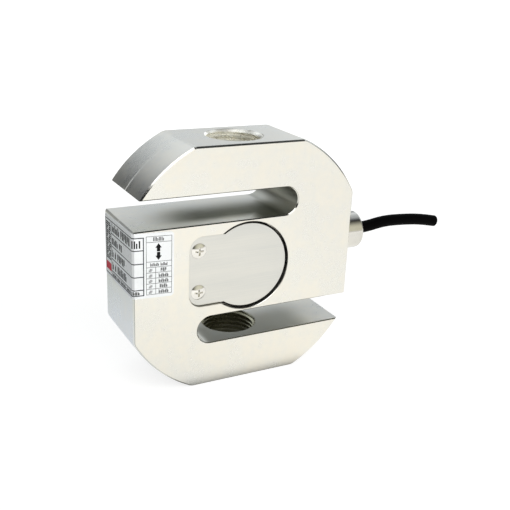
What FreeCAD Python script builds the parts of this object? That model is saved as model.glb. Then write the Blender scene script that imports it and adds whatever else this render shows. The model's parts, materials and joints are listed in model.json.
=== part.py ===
import FreeCAD, Part
import math
import os

# S-type load cell: a nickel-plated steel spring element with two opposed slots,
# threaded M18 x 1.5 at the top and bottom, strain gauges on a thin web inside
# the middle, a sealed cover on each face and a cable gland on the right side.
# X runs along the body's width, -Y is the front, +Z is up, millimetres.
# The origin is the centre of the bottom face, on the thread axis.

V = FreeCAD.Vector

# Spring element
BODY_WIDTH = 74.0
BODY_HEIGHT = 76.0
BODY_DEPTH = 25.0
TURNED_R = 42.1            # the four corners are turned to this radius
MIDDLE_HEIGHT = 29.8       # gauged middle section, between the slots
SLOT_HEIGHT = 8.85
SLOT_REACH = 16.5          # from the thread axis to the slot's round end
OUTLINE_CHAMFER = 0.5
SLOT_CHAMFER = 0.3

# Load threads, modelled at their major radius
THREAD_R = 9.0
THREAD_MOUTH_CHAMFER = 0.1
THREAD_SLOT_CHAMFER = 0.1

# Recess, pocket and web for the strain gauges, on both faces
RECESS_R = 14.2
RECESS_TAB_REACH = 19.5    # from the thread axis to the tab's far edge
RECESS_TAB_HEIGHT = 22.3
RECESS_TAB_CORNER_R = 4.2
RECESS_CHAMFER = 0.15      # round the recess's mouth
POCKET_R = 10.5
WEB_THICKNESS = 3.0

# Cover, its gasket and screws
COVER_THICKNESS = 1.2
COVER_SUNK = 0.7           # below the body's face
COVER_DISC_GAP = 0.85
COVER_TAB_GAP = 0.22
GASKET_THICKNESS = 1.1
GASKET_GAP = 0.2           # to the recess wall and to the pocket's mouth
SCREW_X = -16.25
SCREW_SPACING = 13.2
SCREW_SHANK_R = 1.25
SCREW_HEAD_R = 2.35
SCREW_CONE_HEIGHT = 1.05
SCREW_DOME_HEIGHT = 0.65
SCREW_LENGTH = 5.0
SCREW_CROSS_WIDTH = 0.55
SCREW_CROSS_SPAN = 2.7
SCREW_CROSS_DEPTH = 1.3
SCREW_CLEARANCE = 0.05     # shank and head to their holes
SCREW_TIP_CLEARANCE = 0.8  # below the tip, in the tapped hole

# Gland on the right side face
GLAND_RISE = 2.6           # above the body's centre
GLAND_R = 6.35
FLANGE_THICKNESS = 1.8
SHANK_R = 4.0
SHANK_LENGTH = 7.0
BOSS_R = 4.9
BOSS_LENGTH = 5.2
NUT_LENGTH = 8.4
NUT_GAP = 0.1              # between the flange and the nut
NUT_RIM_ROUND = 0.8
NUT_FACE_THICKNESS = 2.2
GROMMET_R = 3.6
GROMMET_LENGTH = 4.4
WASHER_THICKNESS = 0.6
FIT_CLEARANCE = 0.05       # between parts that screw or slide together
CABLE_CLEARANCE = 0.15     # round the cable in metal holes
O_RING_R = 5.1
O_RING_WIDTH = 0.8
O_RING_HEIGHT = 0.7

# Cable
CABLE_R = 2.0
JACKET_WALL = 0.45
SHIELD_WALL = 0.12
CORE_R = 0.48
CORE_PITCH_R = 0.74        # from the cable's axis to each core's axis
CONDUCTOR_R = 0.24
CABLE_LAYER_GAP = 0.02
PASSAGE_R = 3.0
PASSAGE_NOTCH = 1.9        # how far the cable passage cuts into the web's edge
JACKET_STRIP = 4.0         # from the pocket's wall to the jacket's inner end
SHIELD_TAIL = 1.5          # shield left bare past the jacket's inner end

# The free cable's route from the gland's mouth: along X, then up
CABLE_ROUTE = [(0.0, 0.0), (4.6, 0.0), (12.7, 1.35), (21.2, 1.0), (29.4, 0.19), (35.7, -1.22)]

# Strain gauges and terminals on each face of the web
GAUGE_WIDTH = 6.4
GAUGE_HEIGHT = 8.0
GAUGE_THICKNESS = 0.1
GRID_LENGTH = 3.2
GRID_BAR = 0.16
GRID_PITCH = 0.32
GRID_BARS = 7
GRID_THICKNESS = 0.05
GRID_OFFSET = 2.0          # each grid's centre above or below the web's centre
STRIP_X = 5.9
STRIP_WIDTH = 2.8
STRIP_HEIGHT = 8.4
STRIP_THICKNESS = 0.5
PAD_SPACING = 2.0
PAD_WIDTH = 2.2
PAD_HEIGHT = 1.3
PAD_THICKNESS = 0.2
PAD_COUNT = 4
GAUGE_LEAD_R = 0.12
LINK_R = 0.2
WIRE_STANDOFF = 1.3        # wires' height above the solder pads

# Compensation board in the front pocket
BOARD_X = -6.4
BOARD_WIDTH = 2.8
BOARD_HEIGHT = 7.0
BOARD_THICKNESS = 0.8
RESISTOR_WIDTH = 1.6
RESISTOR_HEIGHT = 1.0
RESISTOR_THICKNESS = 0.6
RESISTOR_SPACING = 3.0

# Label wrapped round the front left edge
LABEL_THICKNESS = 0.12
LABEL_FRONT_WIDTH = 12.5
LABEL_HEIGHT = 19.9
LABEL_RISE = 4.65          # its centre above the body's centre
LABEL_CORNER_R = 1.0
LABEL_FRONT_SLOPE = 0.044  # it was stuck on askew: down to the right on the front
LABEL_SIDE_SLOPE = 0.025   # and down to the rear on the side

# Places that follow from the sizes above
MID_Z = BODY_HEIGHT / 2
SIDE_X = BODY_WIDTH / 2
FRONT_Y = -BODY_DEPTH / 2
ARM_THICKNESS = MID_Z - MIDDLE_HEIGHT / 2 - SLOT_HEIGHT
TAB_SEAT_DEPTH = COVER_SUNK + COVER_THICKNESS
RECESS_DEPTH = TAB_SEAT_DEPTH + GASKET_THICKNESS
WEB_Y = -WEB_THICKNESS / 2
GLAND_Z = MID_Z + GLAND_RISE
NUT_START_X = SIDE_X + FLANGE_THICKNESS + NUT_GAP
MOUTH_X = NUT_START_X + NUT_LENGTH
CABLE_HOLE_R = CABLE_R + CABLE_CLEARANCE
JACKET_BORE_R = CABLE_R - JACKET_WALL
JACKET_START_X = POCKET_R + JACKET_STRIP
PAD_TOP_Y = WEB_Y - STRIP_THICKNESS - PAD_THICKNESS
WIRE_Y = PAD_TOP_Y - WIRE_STANDOFF


def box(x, y, z):
    """A box between two values along each axis."""
    corner = V(min(x), min(y), min(z))
    return Part.makeBox(abs(x[1] - x[0]), abs(y[1] - y[0]), abs(z[1] - z[0]), corner)


def rod_x(radius, start, end, y=0.0, z=GLAND_Z):
    return Part.makeCylinder(radius, end - start, V(start, y, z), V(1, 0, 0))


def rod_y(radius, start, end, x=0.0, z=MID_Z):
    return Part.makeCylinder(radius, end - start, V(x, start, z), V(0, 1, 0))


def rod_z(radius, start, end):
    return Part.makeCylinder(radius, end - start, V(0, 0, start), V(0, 0, 1))


def cone_z(start_r, end_r, start, end):
    return Part.makeCone(start_r, end_r, end - start, V(0, 0, start), V(0, 0, 1))


def fused(shapes):
    return shapes[0].fuse(shapes[1:]).removeSplitter() if len(shapes) > 1 else shapes[0]


def ring_x(outer_r, inner_r, start, end):
    """A ring round the gland's axis."""
    return rod_x(outer_r, start, end).cut(rod_x(inner_r, start, end))


def to_rear(shape):
    """The same piece turned to the rear face."""
    turned = shape.copy()
    turned.rotate(V(0, 0, 0), V(0, 0, 1), 180)
    return turned


def mirrored(shape):
    """The same piece on the web's other side."""
    return shape.mirror(V(0, 0, 0), V(0, 1, 0))


# ---- Spring element ----

def slot_void(side, level):
    """A slot open at one side, with a round end past the thread axis."""
    end_r = SLOT_HEIGHT / 2
    arc_x = -side * (SLOT_REACH - end_r)
    run = box((side * BODY_WIDTH, arc_x), (-BODY_DEPTH, BODY_DEPTH),
              (level - end_r, level + end_r))
    return run.fuse(rod_y(end_r, -BODY_DEPTH, BODY_DEPTH, arc_x, level))


def turned_blank():
    """The block between its flats, with its four corners turned round."""
    block = box((-SIDE_X, SIDE_X), (FRONT_Y, -FRONT_Y), (0, BODY_HEIGHT))
    return block.common(rod_y(TURNED_R, FRONT_Y, -FRONT_Y))


def is_face_edge(edge):
    """True for an edge that lies in the front or the rear face."""
    return all(abs(abs(vertex.Y) + FRONT_Y) < 1e-6 for vertex in edge.Vertexes)


def on_outline(edge):
    """True for a face edge on the blank's outline, not in a slot."""
    middle = edge.valueAt((edge.FirstParameter + edge.LastParameter) / 2)
    from_centre = math.hypot(middle.x, middle.z - MID_Z)
    on_flat = abs(abs(middle.z - MID_Z) - MID_Z) < 1e-6 or abs(abs(middle.x) - SIDE_X) < 1e-6
    return on_flat or abs(from_centre - TURNED_R) < 1e-6


def chamfered_blank():
    blank = turned_blank()
    outline = [edge for edge in blank.Edges if is_face_edge(edge) and on_outline(edge)]
    return blank.makeChamfer(OUTLINE_CHAMFER, outline)


def flared_slot(side, level):
    """The slot's void with a small chamfer where it meets each face."""
    grown = SLOT_HEIGHT / 2 + SLOT_CHAMFER
    arc_x = -side * (SLOT_REACH - SLOT_HEIGHT / 2)
    void = slot_void(side, level)
    for face_y, inward in ((FRONT_Y, 1), (-FRONT_Y, -1)):
        end_cone = Part.makeCone(grown, SLOT_HEIGHT / 2, SLOT_CHAMFER,
                                 V(arc_x, face_y, level), V(0, inward, 0))
        bevel = Part.makePolygon([
            V(arc_x, face_y, level - grown), V(arc_x, face_y, level + grown),
            V(arc_x, face_y + inward * SLOT_CHAMFER, level + SLOT_HEIGHT / 2),
            V(arc_x, face_y + inward * SLOT_CHAMFER, level - SLOT_HEIGHT / 2),
            V(arc_x, face_y, level - grown)])
        run = Part.Face(bevel).extrude(V(side * BODY_WIDTH, 0, 0))
        void = void.fuse([end_cone, run])
    return void


def thread_bore(start, end, mouth, inner):
    """A thread's bore along Z, from its mouth's level to its inner end's."""
    low, high = (start, end) if start < end else (end, start)
    low_c, high_c = (mouth, inner) if start < end else (inner, mouth)
    return fused([rod_z(THREAD_R, low, high),
                  cone_z(THREAD_R + low_c, THREAD_R, low, low + low_c),
                  cone_z(THREAD_R, THREAD_R + high_c, high - high_c, high)])


def tab_outline(reach, height, corner_r, disc_r, start, end):
    """A disc with a round-cornered tab to its left, between two Y values."""
    tab = box((-reach, 0), (start, end), (MID_Z - height / 2, MID_Z + height / 2))
    corners = [edge for edge in tab.Edges
               if abs(edge.Vertexes[0].X + reach) < 1e-6 and abs(edge.Vertexes[-1].X + reach) < 1e-6
               and abs(edge.Vertexes[0].Z - edge.Vertexes[-1].Z) < 1e-6]
    return fused([tab.makeFillet(corner_r, corners), rod_y(disc_r, start, end)])


def recess_flare():
    """A small chamfer round the recess's mouth, as a block to cut away."""
    start, end = FRONT_Y - RECESS_CHAMFER, FRONT_Y + RECESS_CHAMFER
    block = tab_outline(RECESS_TAB_REACH + RECESS_CHAMFER, RECESS_TAB_HEIGHT + 2 * RECESS_CHAMFER,
                        RECESS_TAB_CORNER_R + RECESS_CHAMFER, RECESS_R + RECESS_CHAMFER,
                        start, end).removeSplitter()
    rim = [edge for edge in block.Edges if edge.BoundBox.YMin > end - 1e-6]
    return block.makeChamfer(RECESS_CHAMFER, rim)


def face_recess():
    """The recess, gauge pocket and screw holes sunk into the front face."""
    tab = tab_outline(RECESS_TAB_REACH, RECESS_TAB_HEIGHT, RECESS_TAB_CORNER_R, RECESS_R,
                      FRONT_Y, FRONT_Y + TAB_SEAT_DEPTH)
    disc = rod_y(RECESS_R, FRONT_Y, FRONT_Y + RECESS_DEPTH)
    pocket = rod_y(POCKET_R, FRONT_Y, WEB_Y)
    hole_end = FRONT_Y + COVER_SUNK + SCREW_LENGTH + SCREW_TIP_CLEARANCE
    holes = [rod_y(SCREW_SHANK_R + SCREW_CLEARANCE, FRONT_Y, hole_end, SCREW_X, z)
             for z in screw_levels()]
    return fused([recess_flare(), tab, disc, pocket] + holes)


def side_eases():
    """Wedges that ease the middle section's two free corners along the depth."""
    size = OUTLINE_CHAMFER
    wedges = []
    for side in (-1, 1):
        corner = V(side * SIDE_X, FRONT_Y, MID_Z - side * MIDDLE_HEIGHT / 2)
        outline = Part.makePolygon([corner, corner + V(-side * size, 0, 0),
                                    corner + V(0, 0, side * size), corner])
        wedges.append(Part.Face(outline).extrude(V(0, BODY_DEPTH, 0)))
    return wedges


def spring_element():
    slot_level = MIDDLE_HEIGHT / 2 + SLOT_HEIGHT / 2
    upper_arm_z = BODY_HEIGHT - ARM_THICKNESS
    gland_hole = rod_x(SHANK_R + FIT_CLEARANCE, SIDE_X - SHANK_LENGTH - FIT_CLEARANCE, SIDE_X)
    passage = rod_x(PASSAGE_R, POCKET_R - PASSAGE_NOTCH, SIDE_X)
    recess = face_recess()
    voids = [flared_slot(-1, MID_Z + slot_level), flared_slot(1, MID_Z - slot_level),
             thread_bore(BODY_HEIGHT, upper_arm_z, THREAD_MOUTH_CHAMFER, THREAD_SLOT_CHAMFER),
             thread_bore(0, ARM_THICKNESS, THREAD_MOUTH_CHAMFER, THREAD_SLOT_CHAMFER),
             recess, to_rear(recess), gland_hole, passage]
    return chamfered_blank().cut(voids + side_eases()).removeSplitter()


# ---- Covers, gaskets and screws ----

def screw_levels():
    return (MID_Z + SCREW_SPACING / 2, MID_Z - SCREW_SPACING / 2)


def head_cone(x, z, spread):
    """The space of a countersunk head, spread out by a clearance."""
    top = FRONT_Y + COVER_SUNK
    return Part.makeCone(SCREW_HEAD_R + spread, SCREW_SHANK_R + spread, SCREW_CONE_HEIGHT,
                         V(x, top, z), V(0, 1, 0))


def front_cover():
    top = FRONT_Y + COVER_SUNK
    plate = tab_outline(RECESS_TAB_REACH - COVER_TAB_GAP, RECESS_TAB_HEIGHT - 2 * COVER_TAB_GAP,
                        RECESS_TAB_CORNER_R - COVER_TAB_GAP, RECESS_R - COVER_DISC_GAP,
                        top, top + COVER_THICKNESS)
    for z in screw_levels():
        plate = plate.cut(head_cone(SCREW_X, z, SCREW_CLEARANCE))
        plate = plate.cut(rod_y(SCREW_SHANK_R + SCREW_CLEARANCE, top, top + COVER_THICKNESS,
                                SCREW_X, z))
    return plate


def front_gasket():
    start = FRONT_Y + TAB_SEAT_DEPTH
    end = FRONT_Y + RECESS_DEPTH
    return rod_y(RECESS_R - GASKET_GAP, start, end).cut(rod_y(POCKET_R + GASKET_GAP, start, end))


def cover_screw(z):
    """A raised countersunk screw with a cross recess."""
    top = FRONT_Y + COVER_SUNK
    dome_r = (SCREW_HEAD_R ** 2 + SCREW_DOME_HEIGHT ** 2) / (2 * SCREW_DOME_HEIGHT)
    ball = Part.makeSphere(dome_r, V(SCREW_X, top - SCREW_DOME_HEIGHT + dome_r, z))
    dome = ball.common(rod_y(SCREW_HEAD_R, top - SCREW_DOME_HEIGHT, top, SCREW_X, z))
    shank = rod_y(SCREW_SHANK_R, top, top + SCREW_LENGTH, SCREW_X, z)
    screw = fused([dome, head_cone(SCREW_X, z, 0), shank])
    half, span = SCREW_CROSS_WIDTH / 2, SCREW_CROSS_SPAN / 2
    depth = (top - SCREW_DOME_HEIGHT, top - SCREW_DOME_HEIGHT + SCREW_CROSS_DEPTH)
    cross = box((SCREW_X - half, SCREW_X + half), depth, (z - span, z + span)).fuse(
        box((SCREW_X - span, SCREW_X + span), depth, (z - half, z + half)))
    return screw.cut(cross)


# ---- Strain gauges and wiring ----

def on_web(x, width, z, height, start, thickness):
    """A flat plate on the web's front side, its nearer face at a given Y."""
    return box((x - width / 2, x + width / 2), (start, start - thickness),
               (z - height / 2, z + height / 2))


def gauge_backing():
    return on_web(0, GAUGE_WIDTH, MID_Z, GAUGE_HEIGHT, WEB_Y, GAUGE_THICKNESS)


def foil_grid(level, angle):
    """A foil grid, one line folded to and fro, at an angle on its backing."""
    start = WEB_Y - GAUGE_THICKNESS
    parts = []
    for bar in range(GRID_BARS):
        x = (bar - (GRID_BARS - 1) / 2) * GRID_PITCH
        parts.append(on_web(x, GRID_BAR, level, GRID_LENGTH, start, GRID_THICKNESS))
        if bar:
            end = level + (GRID_LENGTH - GRID_BAR) / 2 * (1 if bar % 2 else -1)
            parts.append(on_web(x - GRID_PITCH / 2, GRID_PITCH, end, GRID_BAR, start,
                                GRID_THICKNESS))
    grid = fused(parts)
    grid.rotate(V(0, 0, level), V(0, 1, 0), angle)
    return grid


def gauge_grids():
    return Part.makeCompound([foil_grid(MID_Z + GRID_OFFSET, 45),
                              foil_grid(MID_Z - GRID_OFFSET, -45)])


def terminal_strip():
    return on_web(STRIP_X, STRIP_WIDTH, MID_Z, STRIP_HEIGHT, WEB_Y, STRIP_THICKNESS)


def pad_level(index):
    return MID_Z + ((PAD_COUNT - 1) / 2 - index) * PAD_SPACING


def solder_pads():
    start = WEB_Y - STRIP_THICKNESS
    return Part.makeCompound([on_web(STRIP_X, PAD_WIDTH, pad_level(index), PAD_HEIGHT, start,
                                     PAD_THICKNESS) for index in range(PAD_COUNT)])


def compensation_board():
    return on_web(BOARD_X, BOARD_WIDTH, MID_Z, BOARD_HEIGHT, WEB_Y, BOARD_THICKNESS)


def compensation_resistors():
    start = WEB_Y - BOARD_THICKNESS
    return Part.makeCompound([on_web(BOARD_X, RESISTOR_WIDTH, MID_Z + side * RESISTOR_SPACING / 2,
                                     RESISTOR_HEIGHT, start, RESISTOR_THICKNESS)
                              for side in (-1, 1)])


def bend(before, corner, after):
    """The largest tangent arc at a corner: its two ends, its middle, its radius."""
    back = (before - corner).normalize()
    on = (after - corner).normalize()
    turn = math.pi - back.getAngle(on)
    trim = 0.45 * min((before - corner).Length, (after - corner).Length)
    radius = trim / math.tan(turn / 2)
    inward = (back + on).normalize()
    middle = corner + inward * (radius / math.cos(turn / 2) - radius)
    return corner + back * trim, middle, corner + on * trim, radius


def route_wire(points):
    """Straight runs through a list of points, joined by tangent arcs."""
    edges = []
    start = points[0]
    for before, corner, after in zip(points, points[1:], points[2:]):
        arc_start, middle, arc_end, _ = bend(before, corner, after)
        edges.append(Part.LineSegment(start, arc_start).toShape())
        edges.append(Part.Arc(arc_start, middle, arc_end).toShape())
        start = arc_end
    edges.append(Part.LineSegment(start, points[-1]).toShape())
    return Part.Wire(edges)


def swept(points, radius, offset=V(0, 0, 0)):
    """A round bar along a route, beside it by an offset at its start."""
    along = points[1] - points[0]
    ring = Part.Wire([Part.makeCircle(radius, points[0] + offset, along)])
    return route_wire(points).makePipeShell([ring], True, False)


def gauge_leads():
    """Fine wires from the gauge's two grids to the solder pads."""
    gauge_y = WEB_Y - GAUGE_THICKNESS
    gauge_x = (GAUGE_WIDTH - PAD_HEIGHT) / 2
    pad_x = STRIP_X - PAD_WIDTH / 2 + 2 * GAUGE_LEAD_R
    leads = []
    for index in range(PAD_COUNT):
        z = pad_level(index)
        leads.append(swept([V(gauge_x, gauge_y, z), V(gauge_x, WIRE_Y + GAUGE_LEAD_R, z),
                            V(pad_x, WIRE_Y, z), V(pad_x, PAD_TOP_Y, z)], GAUGE_LEAD_R))
    return leads


def board_leads():
    """Fine wires from the gauge to the compensation board."""
    gauge_x = -(GAUGE_WIDTH - PAD_HEIGHT) / 2
    board_x = BOARD_X + (BOARD_WIDTH - PAD_HEIGHT / 2) / 2
    leads = []
    for side in (-1, 1):
        z = MID_Z + side * BOARD_HEIGHT / 8
        leads.append(swept([V(gauge_x, WEB_Y - GAUGE_THICKNESS, z), V(gauge_x, WIRE_Y, z),
                            V(board_x, WIRE_Y - GAUGE_LEAD_R, z),
                            V(board_x, WEB_Y - BOARD_THICKNESS, z)], GAUGE_LEAD_R))
    return leads


def link_wires():
    """Two wires that join the front and rear terminals past the web's edge."""
    turn_x = POCKET_R - PASSAGE_NOTCH / 2
    notch_z = GLAND_Z - math.sqrt(PASSAGE_R ** 2 - WEB_Y ** 2)
    links = []
    for order, index in enumerate((PAD_COUNT - 1, PAD_COUNT - 2)):
        z = pad_level(index)
        cross_z = notch_z + (2.5 + 3 * order) * LINK_R
        half = [V(STRIP_X, PAD_TOP_Y, z), V(STRIP_X, WIRE_Y, z),
                V(turn_x, WEB_Y - STRIP_THICKNESS, cross_z)]
        rear = [V(p.x, -p.y, p.z) for p in reversed(half)]
        links.append(swept(half + rear, LINK_R))
    return Part.makeCompound(links)


# ---- Gland ----

def revolved_x(profile):
    """A closed profile of (x, radius) pairs turned round the gland's axis."""
    corners = [V(x, 0, GLAND_Z + r) for x, r in profile]
    face = Part.Face(Part.makePolygon(corners + corners[:1]))
    return face.revolve(V(0, 0, GLAND_Z), V(1, 0, 0), 360)


def gland_body():
    """Threaded shank, flange and boss, bored for the cable and the grommet."""
    flange_x = SIDE_X + FLANGE_THICKNESS
    boss_x = NUT_START_X + BOSS_LENGTH
    seat_x = boss_x - GROMMET_LENGTH
    body = revolved_x([(SIDE_X - SHANK_LENGTH, CABLE_HOLE_R), (SIDE_X - SHANK_LENGTH, SHANK_R),
                       (SIDE_X, SHANK_R), (SIDE_X, GLAND_R), (flange_x, GLAND_R),
                       (flange_x, BOSS_R), (boss_x, BOSS_R),
                       (boss_x, GROMMET_R + FIT_CLEARANCE), (seat_x, GROMMET_R + FIT_CLEARANCE),
                       (seat_x, CABLE_HOLE_R)])
    groove = ring_x(O_RING_R + O_RING_WIDTH / 2 + FIT_CLEARANCE,
                    O_RING_R - O_RING_WIDTH / 2 - FIT_CLEARANCE, SIDE_X, SIDE_X + O_RING_HEIGHT)
    return body.cut(groove)


def gland_o_ring():
    return ring_x(O_RING_R + O_RING_WIDTH / 2, O_RING_R - O_RING_WIDTH / 2,
                  SIDE_X, SIDE_X + O_RING_HEIGHT)


def gland_grommet():
    end = NUT_START_X + BOSS_LENGTH
    return ring_x(GROMMET_R, CABLE_R, end - GROMMET_LENGTH, end)


def gland_washer():
    start = NUT_START_X + BOSS_LENGTH
    return ring_x(BOSS_R, CABLE_HOLE_R, start, start + WASHER_THICKNESS)


def gland_nut():
    """Cap nut with a rounded rim, open at the middle for the cable."""
    cap_x = NUT_START_X + BOSS_LENGTH + WASHER_THICKNESS
    nut = rod_x(GLAND_R, NUT_START_X, MOUTH_X)
    rim = [edge for edge in nut.Edges
           if edge.Closed and abs(edge.Vertexes[0].X - MOUTH_X) < 1e-6]
    nut = nut.makeFillet(NUT_RIM_ROUND, rim)
    nut = nut.cut(rod_x(BOSS_R + FIT_CLEARANCE, NUT_START_X, cap_x))
    return nut.cut(rod_x(CABLE_HOLE_R, cap_x, MOUTH_X))


# ---- Cable ----

CORES = {"red": (-1, 1), "white": (-1, -1), "green": (1, 1), "blue": (1, -1)}


def core_offset(name):
    """A core's place beside the cable's axis: Y side, then Z side."""
    side_y, side_z = CORES[name]
    return V(0, side_y, side_z) * (CORE_PITCH_R / math.sqrt(2))


def cable_points():
    return [V(MOUTH_X + along, 0, GLAND_Z + up) for along, up in CABLE_ROUTE]


def free_layer(outer_r, inner_r):
    points = cable_points()
    return swept(points, outer_r).cut(swept(points, inner_r))


def free_core(name):
    points = cable_points()
    bar = swept(points, CORE_R, core_offset(name))
    return bar.cut(swept(points, CONDUCTOR_R + CABLE_LAYER_GAP, core_offset(name)))


def free_conductors():
    return Part.makeCompound([swept(cable_points(), CONDUCTOR_R, core_offset(name))
                              for name in CORES])


def core_lead(name):
    """A core from the gland's mouth, through the passage, to its solder pad."""
    offset = core_offset(name)
    side = 1 if offset.y > 0 else -1
    z = GLAND_Z + offset.z
    pad_z = pad_level(0 if offset.z > 0 else 1)
    leave_x = POCKET_R
    return swept([V(MOUTH_X, offset.y, z), V(leave_x, offset.y, z),
                  V(leave_x - abs(WIRE_Y), -side * WIRE_Y, z),
                  V(STRIP_X, -side * (WIRE_Y - CORE_R), pad_z),
                  V(STRIP_X, -side * PAD_TOP_Y, pad_z)], CORE_R)


# ---- Label ----

def label_window(start, along, far, slope, through):
    """The label's outline on one face, as a prism that reaches through it.

    It runs from a start point along the face, leans down by a slope, and has
    round corners at its far end.
    """
    end = start + along * far - V(0, 0, slope * far)
    half = V(0, 0, LABEL_HEIGHT / 2)
    outline = Part.makePolygon([start - half, end - half, end + half, start + half,
                                start - half])
    window = Part.Face(outline).extrude(through)
    corners = [edge for edge in window.Edges
               if abs(edge.Length - through.Length) < 1e-6
               and abs((edge.Vertexes[0].Point - end).dot(along)) < 1e-6]
    return window.makeFillet(LABEL_CORNER_R, corners)


def label():
    """One sheet on the left side face, round the chamfer and onto the front."""
    rise = LABEL_THICKNESS * math.tan(math.pi / 8)
    rear_y = -FRONT_Y - OUTLINE_CHAMFER
    front_x = -SIDE_X + LABEL_FRONT_WIDTH
    eased_x = -SIDE_X + OUTLINE_CHAMFER
    eased_y = FRONT_Y + OUTLINE_CHAMFER
    outline = [(-SIDE_X, rear_y), (-SIDE_X, eased_y), (eased_x, FRONT_Y), (front_x, FRONT_Y),
               (front_x, FRONT_Y - LABEL_THICKNESS), (eased_x - rise, FRONT_Y - LABEL_THICKNESS),
               (-SIDE_X - LABEL_THICKNESS, eased_y - rise), (-SIDE_X - LABEL_THICKNESS, rear_y)]
    corners = [V(x, y, 0) for x, y in outline]
    sheet = Part.Face(Part.makePolygon(corners + corners[:1])).extrude(V(0, 0, BODY_HEIGHT))
    level = MID_Z + LABEL_RISE
    skin = 2 * LABEL_THICKNESS
    front = label_window(V(-SIDE_X - skin, FRONT_Y - skin, level), V(1, 0, 0),
                         LABEL_FRONT_WIDTH + skin, LABEL_FRONT_SLOPE,
                         V(0, skin + OUTLINE_CHAMFER, 0))
    side = label_window(V(-SIDE_X - skin, eased_y, level), V(0, 1, 0), rear_y - eased_y,
                        LABEL_SIDE_SLOPE, V(2 * skin, 0, 0))
    return sheet.common(front.fuse(side))


def all_parts():
    cover, gasket = front_cover(), front_gasket()
    grids = gauge_grids()
    parts = {"spring_element": spring_element(),
             "front_cover": cover, "rear_cover": to_rear(cover),
             "front_gasket": gasket, "rear_gasket": to_rear(gasket)}
    for place, z in zip(("upper", "lower"), screw_levels()):
        screw = cover_screw(z)
        parts["front_cover_screw_" + place] = screw
        parts["rear_cover_screw_" + place] = to_rear(screw)
    for face, turned in (("front", lambda shape: shape), ("rear", mirrored)):
        parts[face + "_gauge_backing"] = turned(gauge_backing())
        parts[face + "_gauge_grids"] = turned(grids)
        parts[face + "_terminal_strip"] = turned(terminal_strip())
        parts[face + "_solder_pads"] = turned(solder_pads())
    parts["front_gauge_leads"] = Part.makeCompound(gauge_leads() + board_leads())
    parts["rear_gauge_leads"] = mirrored(Part.makeCompound(gauge_leads()))
    parts["link_wires"] = link_wires()
    parts["compensation_board"] = compensation_board()
    parts["compensation_resistors"] = compensation_resistors()
    parts["gland_body"] = gland_body()
    parts["gland_nut"] = gland_nut()
    parts["gland_grommet"] = gland_grommet()
    parts["gland_washer"] = gland_washer()
    parts["gland_o_ring"] = gland_o_ring()
    parts["held_jacket"] = ring_x(CABLE_R, JACKET_BORE_R, JACKET_START_X, MOUTH_X)
    shield_r = JACKET_BORE_R - CABLE_LAYER_GAP
    parts["held_shield"] = ring_x(shield_r, shield_r - SHIELD_WALL,
                                  JACKET_START_X - SHIELD_TAIL, MOUTH_X)
    parts["cable_jacket"] = free_layer(CABLE_R, JACKET_BORE_R)
    parts["cable_shield"] = free_layer(shield_r, shield_r - SHIELD_WALL)
    for name in CORES:
        parts["lead_" + name] = core_lead(name)
        parts["core_" + name] = free_core(name)
    parts["core_conductors"] = free_conductors()
    parts["label"] = label()
    return parts


def print_cable_facts(jacket):
    """The bends' radii, and the jacket's volume beside section times length."""
    points = cable_points()
    radii = [bend(*three)[3] for three in zip(points, points[1:], points[2:])]
    length = route_wire(points).Length
    section = math.pi * (CABLE_R ** 2 - JACKET_BORE_R ** 2)
    print("cable length %.2f, bend radii %s" % (length, [round(r, 1) for r in radii]))
    print("jacket volume %.2f, section times length %.2f" % (jacket.Volume, section * length))


os.makedirs("parts", exist_ok=True)
pieces = all_parts()
for node, shape in pieces.items():
    shape.exportStep("parts/" + node + ".step")
print_cable_facts(pieces["cable_jacket"])
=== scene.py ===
import json
import math

import bmesh
import bpy
from mathutils import Matrix, Vector


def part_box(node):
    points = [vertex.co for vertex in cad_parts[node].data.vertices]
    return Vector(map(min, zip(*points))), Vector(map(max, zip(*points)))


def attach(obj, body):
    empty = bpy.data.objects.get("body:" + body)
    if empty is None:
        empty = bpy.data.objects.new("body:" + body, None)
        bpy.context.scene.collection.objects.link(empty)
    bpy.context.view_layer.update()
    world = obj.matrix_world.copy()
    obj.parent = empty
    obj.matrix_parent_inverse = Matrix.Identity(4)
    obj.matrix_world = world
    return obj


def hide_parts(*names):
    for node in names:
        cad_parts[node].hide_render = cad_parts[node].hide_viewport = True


# An S-type load cell: nickel-plated steel body, brushed covers, polished gland,
# black cable, printed label. Metres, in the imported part's own frame.

MM = 0.001

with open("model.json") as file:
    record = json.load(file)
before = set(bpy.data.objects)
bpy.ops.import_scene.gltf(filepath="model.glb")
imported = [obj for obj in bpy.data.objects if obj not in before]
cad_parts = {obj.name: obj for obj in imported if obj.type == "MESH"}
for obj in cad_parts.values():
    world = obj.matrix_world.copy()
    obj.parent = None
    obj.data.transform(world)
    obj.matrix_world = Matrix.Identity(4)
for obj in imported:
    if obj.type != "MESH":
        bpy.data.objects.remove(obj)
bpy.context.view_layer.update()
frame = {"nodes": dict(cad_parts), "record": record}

body_low, body_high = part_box("spring_element")
label_low, label_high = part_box("label")
nut_low, nut_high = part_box("gland_nut")
MID_Z = (body_low.z + body_high.z) / 2
MIDDLE_HEIGHT = 29.8 * MM      # between the slots
SLOT_HEIGHT = 8.85 * MM
UPPER_SLOT = (MID_Z + MIDDLE_HEIGHT / 2, MID_Z + MIDDLE_HEIGHT / 2 + SLOT_HEIGHT)
LOWER_SLOT = (MID_Z - MIDDLE_HEIGHT / 2 - SLOT_HEIGHT, MID_Z - MIDDLE_HEIGHT / 2)
GLAND_Z = (nut_low.z + nut_high.z) / 2


# ---- Node graphs ----

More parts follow.
